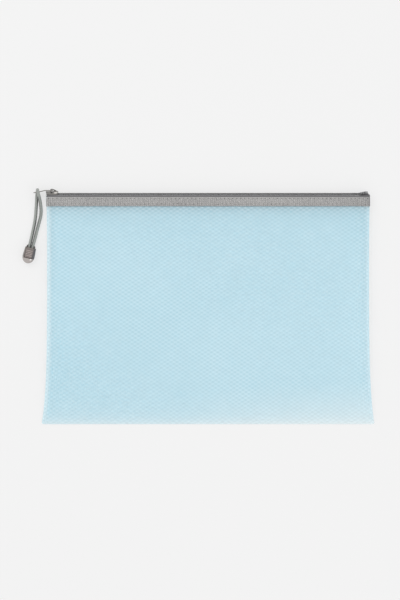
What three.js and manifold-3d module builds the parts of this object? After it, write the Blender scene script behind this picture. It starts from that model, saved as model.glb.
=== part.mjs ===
// Mesh zipper pouch: one folded and side-welded vinyl sheet, closed along the top by a coil zipper.
// Millimetres. +X runs along the zipper, +Y points at the zipper, +Z is up from the table.
// The origin is on the table, under the middle of the pouch.

import * as THREE from 'three';
import { mergeVertices } from 'three/addons/utils/BufferGeometryUtils.js';
import Module from 'manifold-3d';

const wasm = await Module();
wasm.setup();

// Sheet
const sheetWidth = 340; // flat width along the bottom fold
const sheetHeight = 231.8; // bottom fold to the sheet's edge at the mouth
const sheetThick = 0.4;
const weldRim = 2.5; // width of the flat weld along each side
const sideSlope = 13; // distance over which a side rises from its weld to full depth
const sidePower = 2.2; // roundness of that rise
const fillDecay = 33; // distance over which the pouch opens up from its fold
const drawShare = 0.516; // how far each side draws in, as a share of the depth there
const mouthSpread = 1.1; // the zipper tape holds the mouth this much wider at each end
const spreadDecay = 22;
const cornerRadius = 2;
const neckRun = 8; // distance over which the sheet draws in to lie under the tapes
const leftOpenRun = 3; // the left side starts to open this far below the tapes

// Tape
const tapeThick = 0.5;
const tapeReach = 9.4; // how far the tape reaches down over the sheet
const tapeInnerEdge = 1.75; // from the chain's centre line, clear of the slider's post
const tapeBend = 1.7; // size of the turn from the chain down onto the sheet
const tapeOverEdge = 0.8; // it turns down no lower than this above the sheet's edge
const tapeEndInset = 0.1; // the tape ends this far inside the sheet's side edge
const tapeCornerCut = 1.3; // the tape's upper corner is cut back at the slider's end

// Coils
const wire = 0.54; // thickness of the coil's filament
const coilHeight = 2.14;
const coilPitch = 1.7;
const headReach = 0.87; // how far a coil's heads reach past the centre line
const coilBack = 2.57; // outer side of a coil, from the centre line
const coilInset = 1.0; // the coil starts this far inside the tape's left end
const coilEndInset = 0.3; // and stops this far inside its right end
const coreRadius = 0.3;

// Slider
const sliderLength = 12.4;
const sliderOverhang = 0.2; // the slider's mouth stands this far past the tape's left end
const upperPlate = 1.3;
const lowerPlate = 0.8;
const flangeThick = 0.6;
const lowerPlateInset = 0.6; // the lower plate is this much narrower at each side
const postHalf = 0.8; // half width of the wedge post between the plates
const plateBevel = 0.35;
const partingStart = 0.5; // the coils begin to part this far in from the slider's tail
const partingRun = 8;
const bailLength = 8.2;
const bailRise = 2.55;
const bailWidth = 2.6;
const bailWall = 1.0; // the bail's thickness at its high end
const bailInset = 0.1; // from the slider's tail to the foot of the bail

// Link between the slider and the cord
const linkReach = 19.2; // pivot to tip
const linkWidth = 7;
const linkThick = 0.8;
const linkSideBar = 1.4;
const linkNearSlot = 6.1;
const linkEyeLength = 5.2;
const linkEndBar = 1.6;
const linkKnee = 7.8; // pivot to the first bend
const linkShin = 5.3; // length of the sloping middle stretch, along the pouch
const kneeDrop = 1.25; // the far end lies this much lower past the sloping stretch
const tipDrop = 1.05;
const slotRounding = 0.8;
const eyeRounding = 1.2;
const pivotFromTail = 5.8; // along the slider, from its tail
const pivotLift = 0.85; // above the slider's outer plate

// Cord and grip
const cordDiameter = 3.2;
const gripLength = 19.1;
const gripWidth = 12.1;
const gripNeckWidth = 8.8;
const gripNeckLength = 2.4;
const gripShoulderWidth = 10.8;
const gripThick = 6.6;
const gripLift = 0.15; // the grip lies this far above the sheet's own thickness
const gripTilt = 13.9; // degrees, from the pouch's side towards the outside
const gripAside = 16.1; // from the pouch's side to the middle of the grip's mouth
const gripBelow = 53.1; // from the top of the chain down to the grip's mouth
const gripRoundStart = 12.5; // from the mouth to where the round end begins
const gripBevel = 1.1;
const gripFloor = 1.3;
const cavityHalf = 3.6;
const cavityLength = 13.6;
const coverStart = 2.8;
const coverLength = 11.3;
const coverHalf = 4.5;
const coverThick = 1.3;
const ribStart = 2.4; // from the cover's edge at the mouth to the first rib
const ribCount = 5;
const ribHeight = 0.35;
const ribInset = 0.7;
const knotLength = 3.7;

// Clearances
const runGap = 0.2; // between sliding pieces
const fitGap = 0.3; // between pieces that lie against each other

// Heights along Y, from the fold up
const chainProud = 4.2; // the chain's outer side stands this far above the sheet's edge
const foldY = -(sheetHeight + chainProud) / 2;
const mouthY = foldY + sheetHeight;
const chainTopY = mouthY + chainProud;
const tapeTopY = chainTopY - coilHeight - runGap / 2;
const tapePlaneY = tapeTopY - tapeThick / 2;
const tapeFootY = mouthY - tapeReach;
const upperPlateY = chainTopY + fitGap;
const plateTopY = upperPlateY + upperPlate;
const lowerPlateY = tapeTopY - tapeThick - runGap;

// Widths across the chain
const partingMost = headReach + postHalf + runGap;
const sliderHalf = coilBack + partingMost + runGap + flangeThick;
const tapeHalf = sliderHalf + fitGap + tapeThick / 2; // chain's centre line to the tape's middle
const mouthDepth = 2 * (tapeHalf + tapeThick / 2);
const foldDepth = 1.5 * sheetThick;
const rimHalf = 0.75 * sheetThick;
const chainZ = mouthDepth / 2;

// The sheet lies this far inside the tapes' outer faces, to pass under them.
const tapeStep = tapeThick + fitGap;

const materials = {
  sheet: new THREE.MeshStandardMaterial({ color: 0xbfdde7, roughness: 0.4, metalness: 0 }),
  tape: new THREE.MeshStandardMaterial({ color: 0x8b8a88, roughness: 0.9, metalness: 0 }),
  coil: new THREE.MeshStandardMaterial({ color: 0x6a6b6d, roughness: 0.5, metalness: 0 }),
  slider: new THREE.MeshStandardMaterial({ color: 0x7b7a79, roughness: 0.4, metalness: 0.7 }),
  link: new THREE.MeshStandardMaterial({ color: 0x8a8781, roughness: 0.35, metalness: 0.8 }),
  cord: new THREE.MeshStandardMaterial({ color: 0x8c918e, roughness: 0.85, metalness: 0 }),
  grip: new THREE.MeshStandardMaterial({ color: 0x79736f, roughness: 0.45, metalness: 0 }),
};

function smooth(t) {
  const u = Math.min(1, Math.max(0, t));
  return u * u * (3 - 2 * u);
}

function lerp(a, b, t) {
  return a + (b - a) * t;
}

// Closed solids from points and triangles

function closedGeometry(points, triangles) {
  let volume = 0;
  for (const [i, j, k] of triangles) {
    const [a, b, c] = [points[i], points[j], points[k]];
    volume += a[0] * (b[1] * c[2] - b[2] * c[1]);
    volume += a[1] * (b[2] * c[0] - b[0] * c[2]);
    volume += a[2] * (b[0] * c[1] - b[1] * c[0]);
  }
  const index = volume < 0 ? triangles.map(([i, j, k]) => [i, k, j]) : triangles;
  const geometry = new THREE.BufferGeometry();
  geometry.setAttribute('position', new THREE.Float32BufferAttribute(points.flat(), 3));
  geometry.setIndex(index.flat());
  return geometry;
}

// A thin solid between two grids of points, top[i][j] and bottom[i][j].
function slab(top, bottom) {
  const columns = top.length;
  const rows = top[0].length;
  const points = [...top.flat(), ...bottom.flat()];
  const t = (i, j) => i * rows + j;
  const b = (i, j) => columns * rows + i * rows + j;
  const triangles = [];
  for (let i = 0; i + 1 < columns; i++) {
    for (let j = 0; j + 1 < rows; j++) {
      triangles.push([t(i, j), t(i + 1, j), t(i + 1, j + 1)]);
      triangles.push([t(i, j), t(i + 1, j + 1), t(i, j + 1)]);
      triangles.push([b(i, j), b(i + 1, j + 1), b(i + 1, j)]);
      triangles.push([b(i, j), b(i, j + 1), b(i + 1, j + 1)]);
    }
    const last = rows - 1;
    triangles.push([t(i + 1, 0), t(i, 0), b(i, 0)], [t(i + 1, 0), b(i, 0), b(i + 1, 0)]);
    triangles.push([t(i, last), t(i + 1, last), b(i + 1, last)], [t(i, last), b(i + 1, last), b(i, last)]);
  }
  for (let j = 0; j + 1 < rows; j++) {
    const last = columns - 1;
    triangles.push([t(last, j + 1), t(last, j), b(last, j)], [t(last, j + 1), b(last, j), b(last, j + 1)]);
    triangles.push([t(0, j), t(0, j + 1), b(0, j + 1)], [t(0, j), b(0, j + 1), b(0, j)]);
  }
  return closedGeometry(points, triangles);
}

// A tube through rings that all have the same number of points.
function ringTube(rings) {
  const sides = rings[0].length;
  const triangles = [];
  for (let r = 0; r + 1 < rings.length; r++) {
    for (let s = 0; s < sides; s++) {
      const [a, b] = [r * sides + s, r * sides + ((s + 1) % sides)];
      triangles.push([a, b, b + sides], [a, b + sides, a + sides]);
    }
  }
  const end = (rings.length - 1) * sides;
  for (let s = 1; s + 1 < sides; s++) {
    triangles.push([0, s + 1, s], [end, end + s, end + s + 1]);
  }
  return closedGeometry(rings.flat(), triangles);
}

function toSolid(geometry) {
  const bare = geometry.clone();
  bare.deleteAttribute('normal');
  bare.deleteAttribute('uv');
  const merged = mergeVertices(bare, 1e-4);
  return new wasm.Manifold(new wasm.Mesh({
    numProp: 3,
    vertProperties: merged.attributes.position.array,
    triVerts: new Uint32Array(merged.index.array),
  }));
}

function toGeometry(solid) {
  const mesh = solid.getMesh();
  const geometry = new THREE.BufferGeometry();
  geometry.setAttribute('position', new THREE.BufferAttribute(new Float32Array(mesh.vertProperties), 3));
  geometry.setIndex(new THREE.BufferAttribute(new Uint32Array(mesh.triVerts), 1));
  return geometry;
}

function joined(...geometries) {
  return toGeometry(geometries.map(toSolid).reduce((a, b) => a.add(b)));
}

function cut(geometry, ...cutters) {
  return toGeometry(cutters.map(toSolid).reduce((a, b) => a.subtract(b), toSolid(geometry)));
}

// Pouch surfaces

function depthAt(rise) {
  const filled = (1 - Math.exp(-rise / fillDecay)) / (1 - Math.exp(-sheetHeight / fillDecay));
  return foldDepth + (mouthDepth - foldDepth) * filled;
}

function halfWidthAt(rise) {
  const draw = drawShare * (depthAt(rise) - foldDepth);
  const spread = mouthSpread * Math.exp(-(sheetHeight - rise) / spreadDecay);
  const inCorner = Math.max(0, cornerRadius - rise);
  const corner = cornerRadius - Math.sqrt(cornerRadius ** 2 - inCorner ** 2);
  return sheetWidth / 2 - draw + spread - corner;
}

// How far a side is open, from 0 at a closed weld to 1 at full depth. The left side opens for the slider.
function openingAt(inset, rise, side) {
  const run = tapeReach + leftOpenRun;
  const edge = side < 0 ? smooth((rise - sheetHeight + run) / run) : 0;
  const t = Math.min(1, Math.max(0, (inset - weldRim) / sideSlope));
  return edge + (1 - edge) * (1 - (1 - t) ** sidePower);
}

// How far each face of the sheet draws in to pass under its tape
function neckAt(rise) {
  return tapeStep * smooth((rise - sheetHeight + tapeReach + neckRun) / neckRun);
}

// Half the sheet's outside depth at x, a rise above its fold.
function halfDepthAt(x, rise) {
  const inset = halfWidthAt(rise) - Math.abs(x);
  const open = openingAt(inset, rise, Math.sign(x));
  return (depthAt(rise) / 2 - neckAt(rise)) * open + rimHalf * (1 - open);
}

// Vinyl sheet

const slopeSteps = [0.08, 0.2, 0.36, 0.58, 0.8, 1];
const edgeInsets = [0, weldRim, ...slopeSteps.map((t) => weldRim + sideSlope * t)];
const middleShares = [-0.45, 0.05, 0.5];

function columnX(rise) {
  const half = halfWidthAt(rise);
  const inner = half - weldRim - sideSlope;
  const left = edgeInsets.map((inset) => inset - half);
  const right = edgeInsets.map((inset) => half - inset).reverse();
  return [...left, ...middleShares.map((share) => share * inner), ...right];
}

const foldRows = [0, 0.3, 0.9, cornerRadius, 5, 10, 18, 30, 46, 72, 112, 150, 186];
const neckRows = [1, 0.75, 0.5, 0.25, 0].map((share) => tapeReach + neckRun * share);
const legRows = [0.25, 0.6].map((share) => tapeReach * share);
const tapeRows = [...neckRows, ...[...legRows].reverse(), 0];
const sheetRows = [...foldRows, ...tapeRows.map((below) => sheetHeight - below)];

function sheetLayer(side) {
  const columns = columnX(0).map((_, i) => sheetRows.map((rise) => [columnX(rise)[i], rise]));
  const at = (x, rise, inward) => {
    const half = halfDepthAt(x, rise) - inward;
    return [x, foldY + rise, depthAt(rise) / 2 + side * half];
  };
  const outer = columns.map((column) => column.map(([x, rise]) => at(x, rise, 0)));
  const inner = columns.map((column) => column.map(([x, rise]) => at(x, rise, sheetThick)));
  return slab(outer, inner);
}

// Half the sheet's depth on its own facets, for what lies against it
function facetHalfDepth(x, rise) {
  const across = (row) => {
    const xs = columnX(row);
    const found = xs.findIndex((value) => value > x);
    const k = found < 0 ? xs.length - 1 : Math.max(1, found);
    const share = (x - xs[k - 1]) / (xs[k] - xs[k - 1]);
    return lerp(halfDepthAt(xs[k - 1], row), halfDepthAt(xs[k], row), Math.min(1, Math.max(0, share)));
  };
  const found = sheetRows.findIndex((row) => row >= rise);
  const j = found < 0 ? sheetRows.length - 1 : Math.max(1, found);
  const share = (rise - sheetRows[j - 1]) / (sheetRows[j] - sheetRows[j - 1]);
  return lerp(across(sheetRows[j - 1]), across(sheetRows[j]), Math.min(1, share));
}

function makeSheet() {
  return joined(sheetLayer(1), sheetLayer(-1));
}

// Zipper: where a point of the chain lies

const endX = halfWidthAt(sheetHeight) - tapeEndInset;
const sliderMouthX = -endX - sliderOverhang;
const sliderTailX = sliderMouthX + sliderLength;
const riseShare = 0.56; // how much of the folded tape's width lifts the chain at the right end
const endDip = 2.6; // the chain's right end is rounded off by this much
const endDipRun = 3.2;
const tapeGap = fitGap + tapeThick / 2; // from the sheet to the middle of the tape
const foldedGap = rimHalf + tapeGap;

// Where the tape turns down beside the chain, measured across from the centre line.
function tapeShoulder(x) {
  return Math.min(tapeHalf, facetHalfDepth(x, sheetHeight) + tapeGap);
}

// The right end of the chain folds up as the two tapes come together in the weld.
function chainFold(x) {
  if (x < 0) return 0;
  const share = (tapeShoulder(x) - foldedGap) / (tapeHalf - foldedGap);
  return Math.acos(Math.min(1, Math.max(0, share)));
}

function chainLift(x) {
  return riseShare * tapeHalf * Math.sin(chainFold(x)) ** 2;
}

// The end is rounded off at the coils' heads and keeps its height where the tape turns down.
function endDipAt(x, across) {
  const t = Math.min(1, Math.max(0, (x - endX + endDipRun) / endDipRun));
  const share = Math.min(1, Math.max(0, 1 - across / (tapeHalf - tapeBend)));
  return endDip * share * (1 - Math.sqrt(1 - t * t));
}

// The slider's post parts the two coils.
function partingAt(x) {
  return partingMost * smooth((sliderTailX - partingStart - x) / partingRun);
}

// across is measured from the centre line, out is the height above the tape's middle.
function zipPoint(side, x, across, out) {
  const fold = chainFold(x);
  const level = tapePlaneY + chainLift(x) - endDipAt(x, across);
  const y = level - across * Math.sin(fold) + out * Math.cos(fold);
  const away = across * Math.cos(fold) + out * Math.sin(fold) + foldedGap * (1 - Math.cos(fold));
  return [x, y, chainZ + side * away];
}

// Tapes, each in a long middle stretch and two ends that meet it face to face

const tapeSplit = halfWidthAt(sheetHeight) - weldRim - sideSlope;

function tapeStations() {
  const inside = columnX(sheetHeight).filter((x) => Math.abs(x) < endX);
  const turn = [0.7, 0.45, 0.22, 0.08].map((share) => endX - endDipRun * share);
  return [-endX, ...inside, ...turn, endX].sort((a, b) => a - b);
}

function tapeLegAway(x, y) {
  const rise = Math.min(sheetHeight, y - foldY);
  return Math.min(tapeHalf, facetHalfDepth(x, rise) + tapeGap);
}

// The tape's middle line at one station, as distances away from the chain's plane and heights.
function tapeLine(x) {
  const at = (across) => {
    const [, y, z] = zipPoint(1, x, across, 0);
    return new THREE.Vector2(z - chainZ, y);
  };
  const shoulder = at(tapeHalf);
  shoulder.set(tapeShoulder(x), Math.max(shoulder.y, mouthY + tapeOverEdge));
  const before = at(tapeHalf - tapeBend);
  const after = new THREE.Vector2(tapeLegAway(x, shoulder.y - tapeBend), shoulder.y - tapeBend);
  const bend = new THREE.QuadraticBezierCurve(before, shoulder, after);
  const legY = [...legRows.map((below) => mouthY - below), tapeFootY];
  const leg = legY.map((y) => new THREE.Vector2(tapeLegAway(x, y), y));
  return [at(tapeInnerEdge), ...bend.getPoints(4), ...leg];
}

function tapeGrid(side, offset, from, to) {
  const stations = tapeStations().filter((x) => x > from - runGap / 2 && x < to + runGap / 2);
  return stations.map((x) => {
    const points = tapeLine(x);
    const cut = x === -endX ? tapeCornerCut : 0;
    const cutEnd = points.length - 3;
    return points.map((point, k) => {
      const previous = points[Math.max(0, k - 1)];
      const next = points[Math.min(points.length - 1, k + 1)];
      const along = next.clone().sub(previous).normalize();
      const away = point.x - along.y * offset;
      const y = point.y + along.x * offset;
      return [x + cut * Math.max(0, 1 - k / cutEnd), y, chainZ + side * away];
    });
  });
}

function makeTape(side, from, to) {
  return slab(tapeGrid(side, tapeThick / 2, from, to), tapeGrid(side, -tapeThick / 2, from, to));
}

// Coils: one filament that goes round four corners in each turn

const coilFoot = tapeThick / 2 + runGap / 2; // underside of the coil above the tape's middle
const wireLow = coilFoot + wire / 2;
const wireHigh = coilFoot + coilHeight - wire / 2;
const wireHead = wire / 2 - headReach;
const wireBack = coilBack - wire / 2;

function makeCoil(side) {
  const start = -endX + coilInset + (side > 0 ? 0 : coilPitch / 2);
  const turns = Math.floor((endX - coilEndInset - start) / coilPitch);
  const reach = wire / 2;
  const corner = (x, across, out, outwardAcross, outwardOut) => {
    const ring = [[1, 0], [-0.5, 1], [-0.5, -1]];
    return ring.map(([outward, along]) => {
      const a = across + partingAt(x) + outward * outwardAcross * reach;
      return zipPoint(side, x + along * reach, a, out + outward * outwardOut * reach);
    });
  };
  const rings = [];
  for (let turn = 0; turn < turns; turn++) {
    const x = start + turn * coilPitch;
    rings.push(corner(x, wireHead, wireHigh, -1, 1));
    rings.push(corner(x, wireHead, wireLow, -1, -1));
    rings.push(corner(x, wireBack, wireLow, 1, -1));
    rings.push(corner(x + coilPitch, wireBack, wireHigh, 1, 1));
  }
  return ringTube(rings);
}

// The filler cord inside a coil's loops
function makeCore(side) {
  const across = (headReach + wireBack - wire / 2) / 2;
  const out = (wireLow + wireHigh) / 2;
  const slots = 6;
  const inside = tapeStations().filter((x) => Math.abs(x) < endX - coilInset);
  const parting = [0, 0.25, 0.5, 0.75, 1].map((t) => sliderTailX - partingStart - partingRun * t);
  const stations = [...inside.filter((x) => Math.abs(x - sliderTailX) > sliderLength), ...parting];
  const rings = stations.sort((a, b) => a - b).map((x) => {
    const ring = Array.from({ length: slots }, (_, k) => (2 * Math.PI * k) / slots);
    return ring.map((turn) => {
      const a = across + partingAt(x) + coreRadius * Math.cos(turn);
      return zipPoint(side, x, a, out + coreRadius * Math.sin(turn));
    });
  });
  return ringTube(rings);
}

// Slider, drawn in plan with u from its tail to its mouth and v across

function sliderHalfAt(u) {
  return coilBack + partingAt(sliderTailX - u) + runGap + flangeThick;
}

const planSteps = [0.9, 2, 3.2, 4.4, 5.6, 6.8, 8, 9.2, 10.4, 11.5].map((u) => (u * sliderLength) / 12.4);

function platePlan(inset) {
  const shape = new THREE.Shape();
  const tail = sliderHalfAt(0) - inset;
  const mouth = sliderHalfAt(sliderLength) - inset;
  const nose = 0.9;
  shape.moveTo(0, nose - tail);
  planSteps.forEach((u) => shape.lineTo(u, inset - sliderHalfAt(u)));
  shape.lineTo(sliderLength, nose - mouth);
  shape.lineTo(sliderLength, mouth - nose);
  [...planSteps].reverse().forEach((u) => shape.lineTo(u, sliderHalfAt(u) - inset));
  shape.lineTo(0, tail - nose);
  shape.closePath();
  return shape;
}

// Lays a plan (u, v) extruded by a height so that it stands on the level y.
function layPlan(shape, y, height, bevel = 0) {
  const geometry = new THREE.ExtrudeGeometry(shape, {
    depth: height - bevel,
    bevelEnabled: bevel > 0,
    bevelThickness: bevel,
    bevelSize: bevel,
    bevelOffset: -bevel,
    bevelSegments: 2,
    curveSegments: 8,
  });
  geometry.rotateX(-Math.PI / 2);
  geometry.rotateY(Math.PI);
  geometry.translate(sliderTailX, y, chainZ);
  return geometry;
}

function flangePlan(side) {
  const shape = new THREE.Shape();
  const steps = [0.5, ...planSteps.slice(1), sliderLength - 0.4];
  steps.forEach((u, k) => {
    const v = side * (sliderHalfAt(u) - flangeThick);
    if (k === 0) shape.moveTo(u, v);
    else shape.lineTo(u, v);
  });
  [...steps].reverse().forEach((u) => shape.lineTo(u, side * (sliderHalfAt(u) - plateBevel / 2)));
  shape.closePath();
  return shape;
}

function postPlan() {
  const tip = partingStart + partingRun * 0.62;
  const end = sliderLength - flangeThick * 1.5;
  const at = (share) => lerp(tip, end, share);
  const shape = new THREE.Shape();
  shape.moveTo(tip, 0);
  shape.lineTo(at(0.25), -postHalf * 0.5);
  shape.lineTo(at(0.55), -postHalf);
  shape.lineTo(end, -postHalf * 0.8);
  shape.lineTo(end, postHalf * 0.8);
  shape.lineTo(at(0.55), postHalf);
  shape.lineTo(at(0.25), postHalf * 0.5);
  shape.closePath();
  return shape;
}

function makeSliderBody() {
  const sunk = 0.1;
  const postHeight = upperPlateY - lowerPlateY + 2 * sunk;
  const flangeFoot = tapeTopY + runGap;
  return joined(
    plateUp(upperPlateY, upperPlate),
    plateDown(lowerPlateY, lowerPlate),
    layPlan(postPlan(), lowerPlateY - sunk, postHeight),
    layPlan(flangePlan(1), flangeFoot, upperPlateY + sunk - flangeFoot),
    layPlan(flangePlan(-1), flangeFoot, upperPlateY + sunk - flangeFoot),
  );
}

// A plate with its rounded side up, its flat side on the level y
function plateUp(y, height) {
  const full = layPlan(platePlan(0), y, height, plateBevel);
  return flatSide(full, y, -1);
}

// A plate with its rounded side down, its flat side under the level y
function plateDown(y, height) {
  const full = layPlan(platePlan(lowerPlateInset), y - height + plateBevel, height, plateBevel);
  return flatSide(full, y, 1);
}

// Cuts off what lies beyond the level y, above it for 1 or below it for -1.
function flatSide(geometry, y, side) {
  const reach = 4 * sliderLength;
  const block = new THREE.BoxGeometry(reach, reach, reach);
  block.translate(sliderTailX, y + (side * reach) / 2, chainZ);
  return cut(geometry, block);
}

// Bail: a low arch along the slider's outer plate, steep at one end and sloping to the tail
function bailCurve(shape, from, to, rise, sink) {
  const length = to - from;
  shape.moveTo(from, -sink);
  shape.lineTo(to, -sink);
  shape.lineTo(to, 0);
  shape.bezierCurveTo(to - length * 0.35, rise * 0.45, from + length * 0.5, rise, from + length * 0.25, rise);
  shape.bezierCurveTo(from + length * 0.08, rise, from, rise * 0.8, from, rise * 0.35);
  shape.closePath();
  return shape;
}

function makeBail() {
  const rounding = 0.25;
  const sink = 4 * rounding;
  const windowEnd = bailLength - 2 * bailWall;
  const shape = bailCurve(new THREE.Shape(), 0, bailLength, bailRise, sink);
  const window = bailCurve(new THREE.Path(), bailWall * 1.15, windowEnd, bailRise - bailWall, rounding);
  shape.holes.push(window);
  const geometry = new THREE.ExtrudeGeometry(shape, {
    depth: bailWidth - 2 * rounding,
    bevelThickness: rounding,
    bevelSize: rounding,
    bevelOffset: -rounding,
    bevelSegments: 1,
    curveSegments: 6,
  });
  const foot = sliderTailX - bailInset - bailLength;
  geometry.translate(foot, plateTopY, chainZ - bailWidth / 2 + rounding);
  return flatFoot(geometry);
}

// The feet of the bail stand flat on the slider's plate.
function flatFoot(geometry) {
  const block = new THREE.BoxGeometry(4 * bailLength, bailRise, 4 * bailWidth);
  block.translate(sliderTailX, plateTopY - bailRise / 2, chainZ);
  return cut(geometry, block);
}

// Link: a strip bent twice, stamped through in plan

const pivotX = sliderTailX - pivotFromTail;
const pivotY = plateTopY + pivotLift;

function linkSide() {
  const bar = linkThick / 2;
  const middle = [
    [bar, 0],
    [-linkKnee, 0],
    [-linkKnee - linkShin, -kneeDrop],
    [-linkReach, -kneeDrop - tipDrop],
  ];
  const shape = new THREE.Shape();
  middle.forEach(([x, y], k) => (k ? shape.lineTo(x, y - bar) : shape.moveTo(x, y - bar)));
  [...middle].reverse().forEach(([x, y]) => shape.lineTo(x, y + bar));
  shape.closePath();
  return shape;
}

function slotShape(from, to, half, round) {
  const shape = new THREE.Shape();
  shape.moveTo(-from - round, -half);
  shape.absarc(-from - round, -half + round, round, -Math.PI / 2, 0, false);
  shape.absarc(-from - round, half - round, round, 0, Math.PI / 2, false);
  shape.absarc(-to + round, half - round, round, Math.PI / 2, Math.PI, false);
  shape.absarc(-to + round, -half + round, round, Math.PI, 1.5 * Math.PI, false);
  shape.closePath();
  return shape;
}

function standPlan(shape, low, high) {
  const geometry = new THREE.ExtrudeGeometry(shape, {
    depth: high - low,
    bevelEnabled: false,
    curveSegments: 4,
  });
  geometry.rotateX(-Math.PI / 2);
  geometry.translate(0, low, 0);
  return geometry;
}

function makeLink() {
  const strip = new THREE.ExtrudeGeometry(linkSide(), { depth: linkWidth, bevelEnabled: false });
  strip.translate(0, 0, -linkWidth / 2);
  const low = -kneeDrop - tipDrop - 2 * linkThick;
  const high = 2 * linkThick;
  const bar = linkThick / 2;
  const holeHalf = linkWidth / 2 - linkSideBar;
  const eyeEnd = linkReach - linkEndBar;
  const outline = slotShape(-bar, linkReach, linkWidth / 2, bar);
  outline.holes.push(slotShape(bar, bar + linkNearSlot, holeHalf, slotRounding));
  outline.holes.push(slotShape(eyeEnd - linkEyeLength, eyeEnd, holeHalf, eyeRounding));
  return toGeometry(toSolid(strip).intersect(toSolid(standPlan(outline, low, high))));
}

// Cord, from one end in the grip, over the link's side bar and back to the other end in the grip.
// Both of its halves are drawn from the grip's mouth at the table, and its loop from the side bar.
const mouthX = -halfWidthAt(chainTopY - gripBelow - foldY) - gripAside;
const mouthTop = chainTopY - gripBelow;
const eyeMiddle = linkReach - linkEndBar - linkEyeLength / 2;
const barX = pivotX - eyeMiddle;
const barY = pivotY - kneeDrop - (tipDrop * (eyeMiddle - linkKnee - linkShin)) / (linkReach - linkKnee - linkShin);
const barZ = chainZ + linkWidth / 2 - linkSideBar / 2;

const outerHalf = [
  [-3.6, -7.5, 3.85],
  [-1.6, 0.5, 3.85],
  [-0.3, 6.0, 3.1],
  [1.3, 13.5, 1.8],
  [3.2, 22.5, 1.7],
  [4.3, 30.6, 1.75],
  [4.8, 37.6, 2.3],
];
const loop = [
  [-1.4, -9.8, -5.2],
  [-1.1, -4.5, -3.8],
  [-0.55, -0.5, -2.75],
  [-0.3, 1.7, -1.85],
  [-0.2, 2.2, 0],
  [-0.05, 1.7, 1.9],
  [0.5, -0.8, 2.75],
  [1.4, -4.6, 1.4],
  [2.4, -9.8, -2.2],
];
const innerHalf = [
  [9.8, 37.6, 3.3],
  [9.6, 30.6, 1.8],
  [7.7, 22.5, 1.7],
  [5.5, 14.2, 1.8],
  [3.6, 6.4, 3.0],
  [1.8, -0.1, 3.85],
  [-0.4, -8.3, 3.85],
];
const cordPoints = [
  ...outerHalf.map(([x, y, z]) => [mouthX + x, mouthTop + y, z]),
  ...loop.map(([x, y, z]) => [barX + x, barY + y, barZ + z]),
  ...innerHalf.map(([x, y, z]) => [mouthX + x, mouthTop + y, z]),
];

function makeCord() {
  const path = new THREE.CatmullRomCurve3(cordPoints.map((p) => new THREE.Vector3(...p)));
  path.arcLengthDivisions = 800;
  const section = new THREE.Shape();
  const sides = 8;
  for (let k = 0; k < sides; k++) {
    const turn = (2 * Math.PI * (k + 0.5)) / sides;
    const point = [(cordDiameter / 2) * Math.cos(turn), (cordDiameter / 2) * Math.sin(turn)];
    if (k === 0) section.moveTo(...point);
    else section.lineTo(...point);
  }
  section.closePath();
  return new THREE.ExtrudeGeometry(section, { steps: 76, extrudePath: path });
}

// Grip, drawn with u from its mouth to its round end and v across

const gripLow = sheetThick + gripLift;
const gripHigh = gripLow + gripThick;
const coverLow = gripHigh - coverThick - 0.2;

function gripHalfAt(u) {
  if (u <= gripRoundStart) {
    const t = Math.max(0, (u - gripNeckLength) / (gripRoundStart - gripNeckLength));
    return lerp(gripShoulderWidth / 2, gripWidth / 2, Math.sin((Math.PI / 2) * t));
  }
  const t = (u - gripRoundStart) / (gripLength - gripRoundStart);
  return (gripWidth / 2) * Math.sqrt(Math.max(0, 1 - t * t));
}

function gripPlan() {
  const along = [0.04, 0.35, 0.65].map((t) => lerp(gripNeckLength, gripRoundStart, t));
  const round = [0, 0.3, 0.55, 0.75, 0.9, 0.98].map((t) => lerp(gripRoundStart, gripLength, t));
  const steps = [...along, ...round];
  const neck = gripNeckWidth / 2;
  const corner = gripNeckLength / 2;
  const shape = new THREE.Shape();
  shape.moveTo(0, corner - neck);
  shape.lineTo(corner, -neck);
  shape.lineTo(gripNeckLength, -neck);
  steps.forEach((u) => shape.lineTo(u, -gripHalfAt(u)));
  shape.lineTo(gripLength, 0);
  [...steps].reverse().forEach((u) => shape.lineTo(u, gripHalfAt(u)));
  shape.lineTo(gripNeckLength, neck);
  shape.lineTo(corner, neck);
  shape.lineTo(0, neck - corner);
  shape.closePath();
  return shape;
}

function uprightBox(fromU, toU, half, low, high) {
  const box = new THREE.BoxGeometry(toU - fromU, 2 * half, high - low);
  box.translate((fromU + toU) / 2, 0, (low + high) / 2);
  return box;
}

function makeGripShell() {
  const body = new THREE.ExtrudeGeometry(gripPlan(), {
    depth: gripThick - 2 * gripBevel,
    bevelThickness: gripBevel,
    bevelSize: gripBevel,
    bevelOffset: -gripBevel,
    bevelSegments: 3,
  });
  body.translate(0, 0, gripLow + gripBevel);
  const beyond = 2;
  return cut(
    body,
    uprightBox(-beyond, cavityLength, cavityHalf, gripLow + gripFloor, gripHigh + beyond),
    uprightBox(coverStart, coverStart + coverLength, coverHalf, coverLow, gripHigh + beyond),
  );
}

function makeGripCover() {
  const from = coverStart + runGap;
  const to = coverStart + coverLength - runGap;
  const half = coverHalf - runGap;
  const low = coverLow + runGap / 4;
  const high = low + coverThick - ribHeight;
  const pitch = (to - from - ribStart) / ribCount;
  const parts = [uprightBox(from, to, half, low, high)];
  for (let k = 0; k < ribCount; k++) {
    const start = from + ribStart + pitch * (k + 0.25);
    parts.push(uprightBox(start, start + pitch / 2, half - ribInset, low, high + ribHeight));
  }
  return joined(...parts);
}

function makeKnot() {
  const half = cavityHalf - fitGap;
  const low = gripLow + gripFloor + runGap / 2;
  const high = coverLow - runGap / 2;
  const knot = new THREE.SphereGeometry(1, 12, 8);
  knot.scale(knotLength / 2, half, (high - low) / 2);
  knot.translate(cavityLength - runGap - knotLength / 2, 0, (low + high) / 2);
  return knot;
}

// Assembly

function named(name, geometry, material) {
  const mesh = new THREE.Mesh(geometry, material);
  mesh.name = name;
  return mesh;
}

const pouch = new THREE.Group();

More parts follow.
